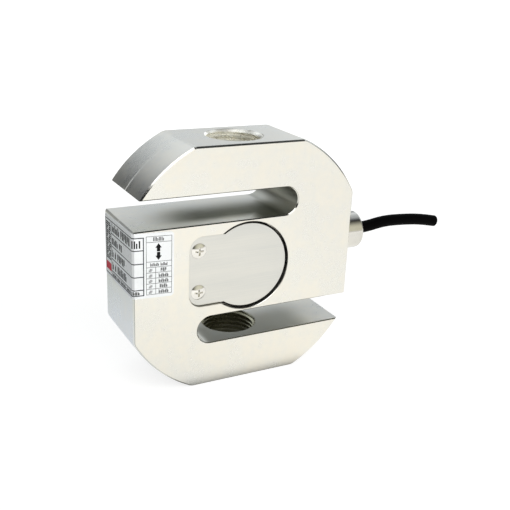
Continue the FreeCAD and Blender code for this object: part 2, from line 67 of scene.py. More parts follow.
class Graph:
    """A short way to write a shader's nodes."""

    def __init__(self, tree):
        self.tree = tree
        tree.nodes.clear()

    def add(self, kind, settings=None, **inputs):
        """A node, with its settings and its inputs; a socket given is linked."""
        node = self.tree.nodes.new("ShaderNode" + kind)
        for name, value in (settings or {}).items():
            setattr(node, name, value)
        for name, value in inputs.items():
            self.put(node.inputs[name.replace("_", " ")], value)
        return node

    def put(self, socket, value):
        if isinstance(value, bpy.types.NodeSocket):
            self.tree.links.new(value, socket)
        else:
            socket.default_value = value

    def calc(self, operation, *values):
        node = self.add("Math", {"operation": operation})
        for socket, value in zip(node.inputs, values):
            self.put(socket, value)
        return node.outputs[0]

    def product(self, first, *others):
        for other in others:
            first = self.calc("MULTIPLY", first, other)
        return first

    def place(self):
        """A point's place in the part's frame, and its three parts."""
        point = self.add("TexCoord").outputs["Object"]
        parts = self.add("SeparateXYZ", Vector=point)
        return point, parts.outputs

    def stretched(self, vector, scale):
        node = self.add("VectorMath", {"operation": "MULTIPLY"})
        self.put(node.inputs[0], vector)
        self.put(node.inputs[1], scale)
        return node.outputs[0]

    def noise(self, vector, scale, detail=3.0, roughness=0.5):
        node = self.add("TexNoise", Vector=vector, Scale=scale, Detail=detail,
                        Roughness=roughness)
        return node.outputs["Fac"]

    def remap(self, value, low, high, to_low=0.0, to_high=1.0):
        """A value's place between two limits, eased, on another scale."""
        node = self.add("MapRange", {"interpolation_type": "SMOOTHSTEP"})
        for name, number in (("Value", value), ("From Min", low), ("From Max", high),
                             ("To Min", to_low), ("To Max", to_high)):
            self.put(node.inputs[name], number)
        return node.outputs[0]

    def blend(self, factor, first, second):
        """A mix of two colours."""
        node = self.add("Mix", {"data_type": "RGBA"})
        self.put(node.inputs[0], factor)
        self.put(node.inputs[6], first)
        self.put(node.inputs[7], second)
        return node.outputs[2]

    def bump(self, height, strength, distance):
        return self.add("Bump", Height=height, Strength=strength,
                        Distance=distance).outputs["Normal"]


def opaque(colour):
    return (*colour, 1.0)


def material(name, paint):
    """A material whose Principled shader is set up by a paint function."""
    made = bpy.data.materials.new(name)
    made.use_nodes = True
    graph = Graph(made.node_tree)
    shader = graph.add("BsdfPrincipled")
    paint(graph, shader)
    output = graph.add("OutputMaterial")
    graph.tree.links.new(shader.outputs[0], output.inputs["Surface"])
    return made


# ---- Materials ----

NICKEL_WARM = (0.86, 0.835, 0.765)
NICKEL_COOL = (0.80, 0.80, 0.765)
# Painted shade: a dark nickel for the slots' insides and the chamfers' outer lip
NICKEL_PAINTED_SHADE = (0.20, 0.205, 0.165)
# The threads' plating: painted paler as light in the upper thread, painted dark as shade
# in the lower
THREAD_PAINTED_LIT = (0.99, 0.98, 0.92)
THREAD_PAINTED_LIT_DIM = (0.96, 0.94, 0.85)
THREAD_PAINTED_SHADE = (0.46, 0.45, 0.34)
LINE_PALE = (0.95, 0.95, 0.92)
COVER_LIGHT = (0.74, 0.735, 0.70)
COVER_DARK = (0.64, 0.65, 0.635)

# What noise mostly gives, with little and with much detail
MIDDLE_TONES = (0.3, 0.7)
FINE_TONES = (0.36, 0.64)

# The slots' painted shade, standing in for dark reflections inside them. For each:
# its side of the body, floor and ceiling, where the dark starts and is full along it,
# how near the front edge it's full, how much of it there is, and how much at the closed
# end
SLOT_PAINTED_SHADE = [
    (1, UPPER_SLOT, -33 * MM, -12 * MM, -5.5 * MM, 1.0, 0.58),
    (-1, LOWER_SLOT, -31 * MM, -18 * MM, -12.5 * MM, 0.62, 0.0),
]
SLOT_EDGE_Y = 12.15 * MM       # where the slots' eased edges start
SLOT_MARGIN = 0.1 * MM
SLOT_PAST_END = 17.2 * MM      # just past the slots' closed ends

RECESS_SIDES = (-20 * MM, 15 * MM)
RECESS_HALF_HEIGHT = 14.6 * MM

CHAMFER_FACING = (0.3, 0.9)    # how far a chamfer faces front or back
# The chamfers' outer lip is painted darker, as a painted dark reflection line
LIP_Y = 12.34 * MM             # the outer part of the chamfers
LIP_DARK = 0.5
LINE_HALF_WIDTH = 0.26 * MM
LINE_RIGHT = -14 * MM
LINE_FADE = (MID_Z + 25 * MM, MID_Z + 38 * MM, 0.9, 0.15)


def band(graph, value, low, high, soft):
    """1 where a value lies between two limits, with soft ends."""
    rising = graph.remap(value, low - soft, low + soft)
    falling = graph.remap(value, high - soft, high + soft, 1.0, 0.0)
    return graph.calc("MULTIPLY", rising, falling)


def painted_slot_shade(graph, parts):
    """Painted shade inside the slots, standing in for dark reflections: darker a little
    behind their front edges and towards their closed ends."""
    inner = graph.calc("LESS_THAN", graph.calc("ABSOLUTE", parts["Y"]), SLOT_EDGE_Y)
    aft = graph.remap(parts["Y"], -4 * MM, 13 * MM, 1.0, 0.0)
    amounts = []
    for side, (low, high), start, full, front, most, closed in SLOT_PAINTED_SHADE:
        along = graph.calc("MULTIPLY", parts["X"], side)
        inside = graph.product(
            band(graph, parts["Z"], low - SLOT_MARGIN, high + SLOT_MARGIN, 0.05 * MM),
            graph.calc("LESS_THAN", along, SLOT_PAST_END))
        fore = graph.calc("MAXIMUM", graph.remap(parts["Y"], front - 6 * MM, front),
                          graph.remap(along, 0.0, 6 * MM))
        floor = graph.product(graph.remap(along, start, full, 0.0, most),
                              graph.remap(along, 11 * MM, 14 * MM, 1.0, 0.6), fore, aft)
        end = graph.remap(along, 10.5 * MM, 13 * MM, 0.0, closed)
        amounts.append(graph.product(inside, graph.calc("MAXIMUM", floor, end)))
    return graph.product(inner, graph.calc("ADD", *amounts))


def recess_rim(graph, parts):
    """1 near the covers' recesses, whose eased rims aren't glossy."""
    across = band(graph, parts["X"], *RECESS_SIDES, 0.1 * MM)
    height = graph.calc("ABSOLUTE", graph.calc("SUBTRACT", parts["Z"], MID_Z))
    return graph.product(across, graph.calc("LESS_THAN", height, RECESS_HALF_HEIGHT))


def paint_body(graph, shader):
    """Satin nickel plating: faint mottling and fine grain, glossy chamfers, painted shade
    inside the slots, a painted dark reflection line on the chamfers' outer lip, and a
    thin pale non-metal line down the middle of the upper arm's rounded side."""
    point, parts = graph.place()
    normal = graph.add("NewGeometry").outputs["True Normal"]
    facing = graph.add("SeparateXYZ", Vector=normal).outputs
    chamfer = graph.product(
        band(graph, graph.calc("ABSOLUTE", facing["Y"]), *CHAMFER_FACING, 0.05),
        graph.calc("SUBTRACT", 1.0, recess_rim(graph, parts)))

    mottle = graph.noise(point, 75.0, 5.0, 0.62)
    blotch = graph.noise(point, 420.0, 4.0, 0.6)
    grain = graph.noise(point, 5200.0, 2.0, 0.6)
    tone = graph.calc("ADD", graph.calc("MULTIPLY", mottle, 0.6),
                      graph.calc("MULTIPLY", blotch, 0.4))
    colour = graph.blend(graph.remap(tone, *FINE_TONES),
                         opaque(NICKEL_COOL), opaque(NICKEL_WARM))
    # Painted shade inside the slots, darker towards their closed ends
    slot_shade = painted_slot_shade(graph, parts)
    colour = graph.blend(slot_shade, colour, opaque(NICKEL_PAINTED_SHADE))

    middle = band(graph, parts["Y"], -LINE_HALF_WIDTH, LINE_HALF_WIDTH, 0.06 * MM)
    rounded = graph.product(graph.calc("LESS_THAN", parts["X"], LINE_RIGHT),
                            graph.calc("GREATER_THAN", facing["Z"], 0.2),
                            graph.calc("LESS_THAN", facing["X"], -0.3))
    pale_line = graph.product(middle, rounded, graph.remap(parts["Z"], *LINE_FADE))
    colour = graph.blend(pale_line, colour, opaque(LINE_PALE))
    # Painted reflection: the chamfers' outer lip darkened with the dark nickel
    outermost = graph.calc("GREATER_THAN", graph.calc("ABSOLUTE", parts["Y"]), LIP_Y)
    colour = graph.blend(graph.product(outermost, chamfer, LIP_DARK),
                         colour, opaque(NICKEL_PAINTED_SHADE))
    graph.put(shader.inputs["Base Color"], colour)
    graph.put(shader.inputs["Metallic"], graph.calc("SUBTRACT", 1.0, pale_line))

    rough = graph.remap(tone, *FINE_TONES, 0.26, 0.34)
    rough = graph.calc("ADD", rough, graph.calc("MULTIPLY", slot_shade, 0.25))
    glossy = graph.add("Mix", {"data_type": "FLOAT"})
    graph.put(glossy.inputs[0], chamfer)
    graph.put(glossy.inputs[2], rough)
    graph.put(glossy.inputs[3], 0.14)
    graph.put(shader.inputs["Roughness"], glossy.outputs[0])
    graph.put(shader.inputs["Normal"], graph.bump(grain, 0.06, 0.00002))


def paint_thread(graph, shader):
    """Plating on the threads, as lit and shaded copies: painted pale and milky as
    light in the upper one, painted dark as shade in the lower one.
    """
    point, parts = graph.place()
    tone = graph.noise(point, 700.0)
    painted_lit = graph.blend(graph.remap(tone, *MIDDLE_TONES),
                       opaque(THREAD_PAINTED_LIT_DIM), opaque(THREAD_PAINTED_LIT))
    upper = graph.calc("GREATER_THAN", parts["Z"], MID_Z)
    # Painted light above the body's middle, painted shade below it
    graph.put(shader.inputs["Base Color"], graph.blend(upper, opaque(THREAD_PAINTED_SHADE), painted_lit))
    graph.put(shader.inputs["Metallic"], graph.remap(upper, 0.0, 1.0, 1.0, 0.7))
    graph.put(shader.inputs["Roughness"], graph.remap(tone, *MIDDLE_TONES, 0.26, 0.32))
    graph.put(shader.inputs["Normal"], graph.bump(tone, 0.05, 0.00001))


def paint_cover(graph, shader):
    """Brushed stainless sheet, with streaks along the cover."""
    point, _ = graph.place()
    brushed = graph.noise(graph.stretched(point, (60.0, 60.0, 5200.0)), 1.0, 4.0, 0.6)
    broad = graph.noise(graph.stretched(point, (25.0, 25.0, 130.0)), 1.0, 2.0)
    tone = graph.calc("ADD", graph.calc("MULTIPLY", brushed, 0.4),
                      graph.calc("MULTIPLY", broad, 0.6))
    colour = graph.blend(graph.remap(tone, *MIDDLE_TONES),
                         opaque(COVER_DARK), opaque(COVER_LIGHT))
    graph.put(shader.inputs["Base Color"], colour)
    shader.inputs["Metallic"].default_value = 1.0
    graph.put(shader.inputs["Roughness"], graph.remap(brushed, *MIDDLE_TONES, 0.30, 0.40))
    graph.put(shader.inputs["Normal"], graph.bump(brushed, 0.10, 0.00002))


def paint_polished(base, rough_low, rough_high):
    """A paint for polished metal, with faint turning marks and smudges."""
    def paint(graph, shader):
        point, _ = graph.place()
        smudge = graph.noise(point, 180.0, 3.0)
        turned = graph.noise(graph.stretched(point, (9000.0, 300.0, 300.0)), 1.0, 2.0)
        dim = tuple(0.93 * part for part in base)
        colour = graph.blend(graph.remap(smudge, 0.35, 0.65), opaque(dim), opaque(base))
        graph.put(shader.inputs["Base Color"], colour)
        shader.inputs["Metallic"].default_value = 1.0
        graph.put(shader.inputs["Roughness"],
                  graph.remap(smudge, *MIDDLE_TONES, rough_low, rough_high))
        graph.put(shader.inputs["Normal"], graph.bump(turned, 0.05, 0.00001))
    return paint


def paint_plastic(base, rough, grain_scale, grain_depth, spread=0.12, gloss=0.5):
    """A paint for plastic, rubber and film: fine grain and slight mottling."""
    def paint(graph, shader):
        shader.inputs["Specular IOR Level"].default_value = gloss
        point, _ = graph.place()
        mottle = graph.noise(point, grain_scale * 0.08, 3.0)
        grain = graph.noise(point, grain_scale, 2.0)
        dim = tuple((1.0 - spread) * part for part in base)
        colour = graph.blend(graph.remap(mottle, *MIDDLE_TONES),
                             opaque(dim), opaque(base))
        graph.put(shader.inputs["Base Color"], colour)
        graph.put(shader.inputs["Roughness"],
                  graph.remap(grain, *MIDDLE_TONES, rough - 0.05, rough + 0.05))
        graph.put(shader.inputs["Normal"], graph.bump(grain, 0.2, grain_depth))
    return paint


def paint_braid(graph, shader):
    """Tinned copper braid: two sets of crossing strands round the cable."""
    _, parts = graph.place()
    height = graph.calc("SUBTRACT", parts["Z"], GLAND_Z)
    turns = graph.calc("MULTIPLY", graph.calc("ARCTAN2", height, parts["Y"]), 8.0)
    along = graph.calc("MULTIPLY", parts["X"], 2600.0)
    one = graph.calc("SINE", graph.calc("ADD", along, turns))
    other = graph.calc("SINE", graph.calc("SUBTRACT", along, turns))
    strand = graph.calc("MAXIMUM", one, other)
    colour = graph.blend(graph.remap(strand, -0.4, 0.9),
                         opaque((0.20, 0.17, 0.14)), opaque((0.72, 0.68, 0.62)))
    graph.put(shader.inputs["Base Color"], colour)
    shader.inputs["Metallic"].default_value = 1.0
    shader.inputs["Roughness"].default_value = 0.35
    graph.put(shader.inputs["Normal"], graph.bump(strand, 0.6, 0.00006))


def paint_grid(graph, shader):
    """Etched foil, a little uneven."""
    point, _ = graph.place()
    tone = graph.noise(point, 900.0, 3.0)
    colour = graph.blend(graph.remap(tone, *MIDDLE_TONES),
                         opaque((0.55, 0.42, 0.28)), opaque((0.74, 0.62, 0.46)))
    graph.put(shader.inputs["Base Color"], colour)
    shader.inputs["Metallic"].default_value = 1.0
    graph.put(shader.inputs["Roughness"], graph.remap(tone, *MIDDLE_TONES, 0.3, 0.45))


FINE_GRAIN = (2500.0, 0.00001)
INKS = {"ink_black": (0.004, 0.004, 0.005), "ink_grey": (0.05, 0.055, 0.065),
        "ink_red": (0.62, 0.012, 0.045)}


def make_materials():
    """One material for each of the record's slots, the label's inks and the threads."""
    paints = {
        "nickel_plated_steel": paint_body,
        "cover_steel": paint_cover,
        "screw_steel": paint_polished((0.84, 0.83, 0.80), 0.06, 0.12),
        "gasket_rubber": paint_plastic((0.008, 0.008, 0.008), 0.7, 3000.0, 0.00003,
                                       gloss=0.1),
        "gland_nickel": paint_polished((0.72, 0.71, 0.67), 0.08, 0.14),
        "gauge_film": paint_plastic((0.60, 0.30, 0.06), 0.35, *FINE_GRAIN),
        "gauge_foil": paint_grid,
        "terminal_board": paint_plastic((0.05, 0.20, 0.08), 0.45, *FINE_GRAIN),
        "solder": paint_polished((0.78, 0.78, 0.76), 0.18, 0.30),
        "resistor_ceramic": paint_plastic((0.03, 0.03, 0.03), 0.25, *FINE_GRAIN),
        "enamelled_copper": paint_polished((0.80, 0.42, 0.24), 0.15, 0.28),
        "cable_black": paint_plastic((0.0012, 0.0012, 0.0013), 0.5, 1800.0, 0.00003,
                                     gloss=0.02),
        "cable_shield": paint_braid,
        "core_red": paint_plastic((0.55, 0.02, 0.02), 0.4, *FINE_GRAIN),
        "core_white": paint_plastic((0.80, 0.80, 0.78), 0.4, *FINE_GRAIN),
        "core_green": paint_plastic((0.02, 0.30, 0.07), 0.4, *FINE_GRAIN),
        "core_blue": paint_plastic((0.02, 0.08, 0.45), 0.4, *FINE_GRAIN),
        "label_film": paint_plastic((0.84, 0.86, 0.88), 0.32, 1500.0, 0.00001,
                                    spread=0.04),
    }
    for name, base in INKS.items():
        paints[name] = paint_plastic(base, 0.45, 2500.0, 0.000005, gloss=0.15)
    paints["thread_plating"] = paint_thread
    return {name: material(name, paint) for name, paint in paints.items()}


materials = make_materials()
slot_of = {part["node"]: part["material_slot"] for part in frame["record"]["subparts"]}
for node_name, node_object in frame["nodes"].items():
    for node_slot in node_object.material_slots:
        node_slot.material = materials[slot_of[node_name]]


# ---- Meshes ----

def mesh_piece(name, vertices, faces, material_name, slot_name=None, smooth=False):
    """A new piece that rides on the part, made from vertices and faces."""
    mesh = bpy.data.meshes.new(name)
    mesh.from_pydata([tuple(v) for v in vertices], [], faces)
    shape = bmesh.new()
    shape.from_mesh(mesh)
    bmesh.ops.remove_doubles(shape, verts=shape.verts, dist=1e-7)
    bmesh.ops.recalc_face_normals(shape, faces=shape.faces)
    shape.to_mesh(mesh)
    shape.free()
    mesh.materials.append(materials[material_name])
    for face in mesh.polygons:
        face.use_smooth = smooth
    piece = bpy.data.objects.new(name, mesh)
    bpy.context.scene.collection.objects.link(piece)
    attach(piece, "root")
    return piece


SHARP_ANGLE = math.radians(35.0)


def keep_sharp_edges(piece):
    """Marks the sharp edges of a smoothly shaded piece."""
    piece.data.set_sharp_from_angle(angle=SHARP_ANGLE)


# ---- Load threads ----

THREAD_MAJOR_R = 9.0 * MM
THREAD_MINOR_R = 8.188 * MM
THREAD_PITCH = 1.5 * MM
THREAD_EASED_R = 9.1 * MM     # at both ends, where the bore is chamfered
THREAD_SINK = 0.015 * MM      # the ridges' backs reach this far past the bore's wall
ARM_THICKNESS = MID_Z - MIDDLE_HEIGHT / 2 - SLOT_HEIGHT
THREAD_SIDES = 120
# The profile, as shares of the pitch
ROOT, FLANK, CREST = 0.125, 0.3125, 0.25


def thread_radius(turn):
    """The ridges' radius after a number of pitches along the thread."""
    share = turn % 1.0
    if share < ROOT:
        depth = 1.0
    elif share < ROOT + FLANK:
        depth = 1.0 - (share - ROOT) / FLANK
    elif share < ROOT + FLANK + CREST:
        depth = 0.0
    else:
        depth = (share - ROOT - FLANK - CREST) / FLANK
    return THREAD_MINOR_R + (THREAD_MAJOR_R - THREAD_SINK - THREAD_MINOR_R) * depth


def thread_rows():
    """Places along one pitch where the profile turns, with some between."""
    steps = [0.0, ROOT]
    steps += [ROOT + FLANK * part / 3 for part in (1, 2, 3)]
    steps += [ROOT + FLANK + CREST]
    steps += [ROOT + FLANK + CREST + FLANK * part / 3 for part in (1, 2)]
    return steps


def add_thread(name, mouth_z, inward):
    """The right-handed ridges of one load thread, from its mouth to the slot."""
    margin = THREAD_EASED_R - THREAD_MAJOR_R + THREAD_SINK
    low, high = margin, ARM_THICKNESS - margin
    rows = thread_rows()
    places = [pitch + step for pitch in range(-1, int(ARM_THICKNESS / THREAD_PITCH) + 2)
              for step in rows]
    vertices, faces = [], []
    for side in range(THREAD_SIDES):
        angle = inward * 2 * math.pi * side / THREAD_SIDES
        for place in places:
            depth = (place + side / THREAD_SIDES) * THREAD_PITCH
            depth = min(max(depth, low), high)
            radius = thread_radius(depth / THREAD_PITCH - side / THREAD_SIDES)
            radius = max(radius, THREAD_EASED_R - depth,
                         THREAD_EASED_R - (ARM_THICKNESS - depth))
            radius = min(radius, THREAD_MAJOR_R - THREAD_SINK)
            vertices.append((radius * math.cos(angle), radius * math.sin(angle),
                             mouth_z + inward * depth))
        for depth in (high, low):
            vertices.append(((THREAD_MAJOR_R + THREAD_SINK) * math.cos(angle),
                             (THREAD_MAJOR_R + THREAD_SINK) * math.sin(angle),
                             mouth_z + inward * depth))
    last, count = len(places) - 1, len(places) + 2
    for side in range(THREAD_SIDES):
        here, there = side * count, ((side + 1) % THREAD_SIDES) * count
        met = list(range(count))
        # After a full turn, each row meets the row one pitch further in
        if side == THREAD_SIDES - 1:
            met[:last + 1] = [min(row + len(rows), last) for row in range(last + 1)]
        for row in range(count):
            beside = (row + 1) % count
            face = (here + row, here + beside, there + met[beside], there + met[row])
            faces.append(tuple(dict.fromkeys(face)))
    piece = mesh_piece(name, vertices, faces, "thread_plating", "nickel_plated_steel",
                       smooth=True)
    keep_sharp_edges(piece)


add_thread("upper_thread_ridges", body_high.z, -1)
add_thread("lower_thread_ridges", body_low.z, 1)


# ---- Cable ----

CABLE_R = 2.0 * MM
JACKET_WALL = 0.45 * MM
SHIELD_WALL = 0.12 * MM
LAYER_GAP = 0.02 * MM
CORE_R = 0.48 * MM
CONDUCTOR_R = 0.24 * MM
CORE_PITCH_R = 0.74 * MM
CABLE_SIDES = 40
ROD_SIDES = 16

# The free cable's route from the gland's mouth, along X and up, in millimetres
CABLE_ROUTE = [(0.0, 0.0), (4.6, 0.0), (12.7, 1.35), (21.2, 1.0), (29.4, 0.19),
               (35.7, -1.22)]
# The cores' sides of the cable's middle, along Y and up
CORES = {"red": (-1, 1), "white": (-1, -1), "green": (1, 1), "blue": (1, -1)}


def cable_line():
    """Points along the route's smooth curve."""
    mouth = Vector((nut_high.x, 0.0, GLAND_Z))
    curve = bpy.data.curves.new("cable_line", "CURVE")
    curve.dimensions = "3D"
    curve.resolution_u = 16
    spline = curve.splines.new("NURBS")
    spline.points.add(len(CABLE_ROUTE) - 1)
    for point, (along, up) in zip(spline.points, CABLE_ROUTE):
        place = mouth + Vector((along * MM, 0.0, up * MM))
        point.co = (*place, 1.0)
    spline.order_u = 3
    spline.use_endpoint_u = True
    holder = bpy.data.objects.new("cable_line", curve)
    bpy.context.scene.collection.objects.link(holder)
    mesh = bpy.data.meshes.new_from_object(holder)
    points = [vertex.co.copy() for vertex in mesh.vertices]
    bpy.data.meshes.remove(mesh)
    bpy.data.objects.remove(holder)
    return points


def rings_along(points, radius, offset=(0.0, 0.0), sides=CABLE_SIDES):
    """Rings round a line in the XZ plane, beside it by (Y, up) offsets."""
    rings = []
    for index, point in enumerate(points):
        before = points[max(index - 1, 0)]
        after = points[min(index + 1, len(points) - 1)]
        along = (after - before).normalized()
        if index == 0:
            along = Vector((1.0, 0.0, 0.0))
        side = Vector((0.0, 1.0, 0.0))
        up = Vector((-along.z, 0.0, along.x))
        centre = point + side * offset[0] + up * offset[1]
        ring = []
        for step in range(sides):
            angle = 2 * math.pi * step / sides
            ring.append(centre + side * (radius * math.cos(angle))
                        + up * (radius * math.sin(angle)))
        rings.append(ring)
    return rings


def loft(rings, closed_along):
    """Faces between rings, all the way round; the ends are capped or joined."""
    sides = len(rings[0])
    vertices = [vertex for ring in rings for vertex in ring]
    faces = []
    pairs = len(rings) if closed_along else len(rings) - 1
    for ring in range(pairs):
        here, there = ring * sides, ((ring + 1) % len(rings)) * sides
        for step in range(sides):
            beside = (step + 1) % sides
            faces.append((here + step, here + beside, there + beside, there + step))
    if not closed_along:
        faces.append(tuple(range(sides)))
        faces.append(tuple((len(rings) - 1) * sides + step for step in range(sides)))
    return vertices, faces


def cable_layer(name, outer_r, inner_r, material_name, offset=(0.0, 0.0)):
    """A hollow layer of the cable along its whole free length."""
    outer = rings_along(line, outer_r, offset)
    inner = rings_along(line, inner_r, offset)
    vertices, faces = loft(outer + inner[::-1], True)
    return mesh_piece(name, vertices, faces, material_name, smooth=True)


def cable_rod(radius, offset):
    return loft(rings_along(line, radius, offset, ROD_SIDES), False)


def joined(parts):
    """Several lists of vertices and faces as one."""
    vertices, faces = [], []
    for part_vertices, part_faces in parts:
        start = len(vertices)
        vertices += part_vertices
        faces += [tuple(start + index for index in face) for face in part_faces]
    return vertices, faces


line = cable_line()


def add_cable():
    """The free cable's jacket, shield, cores and conductors."""
    jacket_bore = CABLE_R - JACKET_WALL
    shield_r = jacket_bore - LAYER_GAP
    jacket = cable_layer("cable_outer_jacket", CABLE_R, jacket_bore, "cable_black")
    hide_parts("cable_jacket")
    shield = cable_layer("cable_braid", shield_r, shield_r - SHIELD_WALL,
                         "cable_shield")
    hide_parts("cable_shield")
    inside = [shield]
    rods = []
    for name, sides in CORES.items():
        offset = [side * CORE_PITCH_R / math.sqrt(2) for side in sides]
        core = cable_layer("cable_core_" + name, CORE_R, CONDUCTOR_R + LAYER_GAP,
                           "core_" + name, offset)
        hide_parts("core_" + name)
        inside.append(core)
        rods.append(cable_rod(CONDUCTOR_R, offset))
    wires = mesh_piece("cable_conductors", *joined(rods), "enamelled_copper",
                       smooth=True)
    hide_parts("core_conductors")
    inside.append(wires)
    for piece in [jacket] + inside:
        keep_sharp_edges(piece)


add_cable()


# ---- Label print ----

LABEL_HEIGHT = 19.9 * MM
LABEL_THICKNESS = 0.12 * MM
EDGE_CHAMFER = 0.5 * MM        # the body's, which the label folds over
FOLD = EDGE_CHAMFER - LABEL_THICKNESS * math.tan(math.pi / 8)
FRONT_SLOPE = 0.044
SIDE_SLOPE = 0.025
INK_HEIGHT = 0.012 * MM
INK_SINK = 0.006 * MM
LABEL_LEVEL = label_high.z - LABEL_HEIGHT / 2


def on_label(along, up, lift):
    """A place on the label: along is across the front if positive, back along
    the side if negative, both from the folded edge; up is from its middle."""
    front_y = label_low.y - lift
    side_x = label_low.x - lift
    if along >= FOLD:
        spot = (body_low.x + along, front_y)
    elif along <= -FOLD:
        spot = (side_x, body_low.y - along)
    else:
        share = (along + FOLD) / (2 * FOLD)
        start, end = (side_x, body_low.y + FOLD), (body_low.x + FOLD, front_y)
        spot = tuple(a + (b - a) * share for a, b in zip(start, end))
    slope = FRONT_SLOPE if along > 0 else SIDE_SLOPE
    return Vector((*spot, LABEL_LEVEL + up - slope * abs(along)))


class Print:
    """Flat marks of one ink on the label, as one piece."""

    def __init__(self):
        self.vertices, self.faces = [], []

    def prism(self, outline):
        """A flat mark with a straight-edged outline of (along, up) points."""
        start = len(self.vertices)
        count = len(outline)
        for lift in (-INK_SINK, INK_HEIGHT):
            self.vertices += [on_label(along, up, lift) for along, up in outline]
        self.faces.append(tuple(range(start, start + count)))
        self.faces.append(tuple(range(start + count, start + 2 * count)))
        for index in range(count):
            beside = (index + 1) % count
            self.faces.append((start + index, start + beside, start + count + beside,
                               start + count + index))

    def bar(self, left, right, low, high):
        """A rectangle, split where it crosses the fold."""
        folds = [fold for fold in (-FOLD, FOLD) if left < fold < right]
        stops = [left, *folds, right]
        for first, second in zip(stops, stops[1:]):
            self.prism([(first, low), (second, low), (second, high), (first, high)])

    def frame(self, left, right, low, high, width):
        self.bar(left, right, high - width, high)
        self.bar(left, right, low, low + width)
        self.bar(left, left + width, low + width, high - width)
        self.bar(right - width, right, low + width, high - width)

    def glyph(self, kind, left, low, wide, high, stroke, upright=True):
        """A pair of strokes that stands for a letter, upright or turned on its side."""
        for start, end, foot, top in MARKS[kind % len(MARKS)]:
            if not upright:
                start, end, foot, top = foot, top, start, end
            self.bar(left + start * (wide - stroke),
                     left + end * (wide - stroke) + stroke,
                     low + foot * (high - stroke),
                     low + top * (high - stroke) + stroke)

    def words(self, left, low, high, words, wide, stroke):
        """Groups of marks in a row that stand for words."""
        pitch = wide + MARK_GAP * stroke
        for order, length in enumerate(words):
            for mark in range(length):
                self.glyph(order + mark * mark + length, left, low, wide, high, stroke)
                left += pitch
            left += WORD_GAP * pitch

    def piece(self, name, ink):
        return mesh_piece(name, self.vertices, self.faces, ink, "label_film")


# Marks are pairs of separate uprights, which aren't letters: each stroke's place
# across, from and to, then its foot and top, as shares of the mark
MARKS = [
    ((0, 0, 0, 1), (1, 1, 0, 1)),
    ((0, 0, 0, 1), (1, 1, 0, 0.6)),
    ((0, 0, 0, 0.6), (1, 1, 0, 1)),
    ((0, 0, 0, 1), (1, 1, 0.4, 1)),
]
MARK_GAP = 0.8                 # between marks, as a share of the stroke
WORD_GAP = 0.7                 # between words, as a share of the marks' pitch

# The label's rows, upwards from its middle: the row box's lines and the table's
ROW_LEVELS = [8.73 * MM, 4.66 * MM, 0.62 * MM, -3.40 * MM, -7.40 * MM, -9.14 * MM]
TABLE_TOP = 8.92 * MM
HEADER_LEVEL = 7.05 * MM
TABLE_LEVELS = [1.14 * MM, -0.58 * MM, -2.24 * MM, -3.96 * MM, -5.62 * MM, -7.30 * MM,
                -8.98 * MM]
ROW_LINE = 0.30 * MM
TABLE_LINE = 0.13 * MM
BOX_LEFT, COLUMN, BOX_RIGHT = -24.2 * MM, -18.9 * MM, 3.35 * MM
TABLE_LEFT, TABLE_SPLIT, TABLE_RIGHT = 3.98 * MM, 6.8 * MM, 11.86 * MM

# Groups of marks: how many stand for each word, then their measures
HEADER_WORDS = {"left": 6.15 * MM, "low": 7.42 * MM, "high": 1.2 * MM,
                "words": [4], "wide": 0.66 * MM, "stroke": 0.24 * MM}
CAPTION_WORDS = {"left": 5.2 * MM, "low": -0.2 * MM, "high": 1.0 * MM,
                 "words": [5, 4], "wide": 0.42 * MM, "stroke": 0.17 * MM}
TABLE_FIRST_WORDS = {"left": 4.8 * MM, "high": 1.0 * MM,
                     "words": [2], "wide": 0.44 * MM, "stroke": 0.15 * MM}
TABLE_SECOND_WORDS = {"high": 1.15 * MM, "wide": 0.46 * MM, "stroke": 0.20 * MM}
TABLE_SECOND_MIDDLE = 9.35 * MM
TABLE_SECOND_LENGTHS = [3, 5, 5, 4, 5]
FOOT_WORDS = {"left": -18.0 * MM, "low": ROW_LEVELS[-1] + 0.42 * MM, "high": 1.05 * MM,
              "words": [5, 4, 6, 5, 4], "wide": 0.55 * MM, "stroke": 0.25 * MM}
SIDE_WORDS = {"left": -18.0 * MM, "wide": 1.02 * MM, "stroke": 0.46 * MM}
# Each row's words on the side, and their height in millimetres
SIDE_ROWS = [([5, 6], 2.5), ([4, 2], 2.1), ([1, 1, 5], 2.3), ([1, 1, 6], 2.4)]
FRONT_MARKS = [(0, -0.5 * MM), (2, 1.0 * MM)]      # which, and their left ends
SIDE_COLUMNS, SIDE_COLUMN_MARKS = 2, 9
ARROW_MIDDLE, ARROW_LOW, ARROW_HIGH = 7.75 * MM, 1.62 * MM, 6.72 * MM
RED_FIELD = (-24.0 * MM, -19.2 * MM, -7.8 * MM, -5.3 * MM)


def add_row_box(lines):
    """The box of rows that runs from the side round the edge to the front."""
    lines.frame(BOX_LEFT, BOX_RIGHT, ROW_LEVELS[-1], ROW_LEVELS[0], ROW_LINE)
    for level in ROW_LEVELS[1:-1]:
        lines.bar(COLUMN, BOX_RIGHT - ROW_LINE, level, level + ROW_LINE)
    lines.bar(COLUMN, COLUMN + ROW_LINE,
              ROW_LEVELS[-1] + ROW_LINE, ROW_LEVELS[0] - ROW_LINE)


def add_table(lines):
    """The table on the front, under its header and the arrow's field."""
    lines.frame(TABLE_LEFT, TABLE_RIGHT, TABLE_LEVELS[-1], TABLE_TOP, TABLE_LINE)
    for level in [HEADER_LEVEL] + TABLE_LEVELS[:-1]:
        lines.bar(TABLE_LEFT + TABLE_LINE, TABLE_RIGHT - TABLE_LINE,
                  level, level + TABLE_LINE)
    lines.bar(TABLE_SPLIT, TABLE_SPLIT + TABLE_LINE,
              TABLE_LEVELS[-1] + TABLE_LINE, TABLE_LEVELS[1])


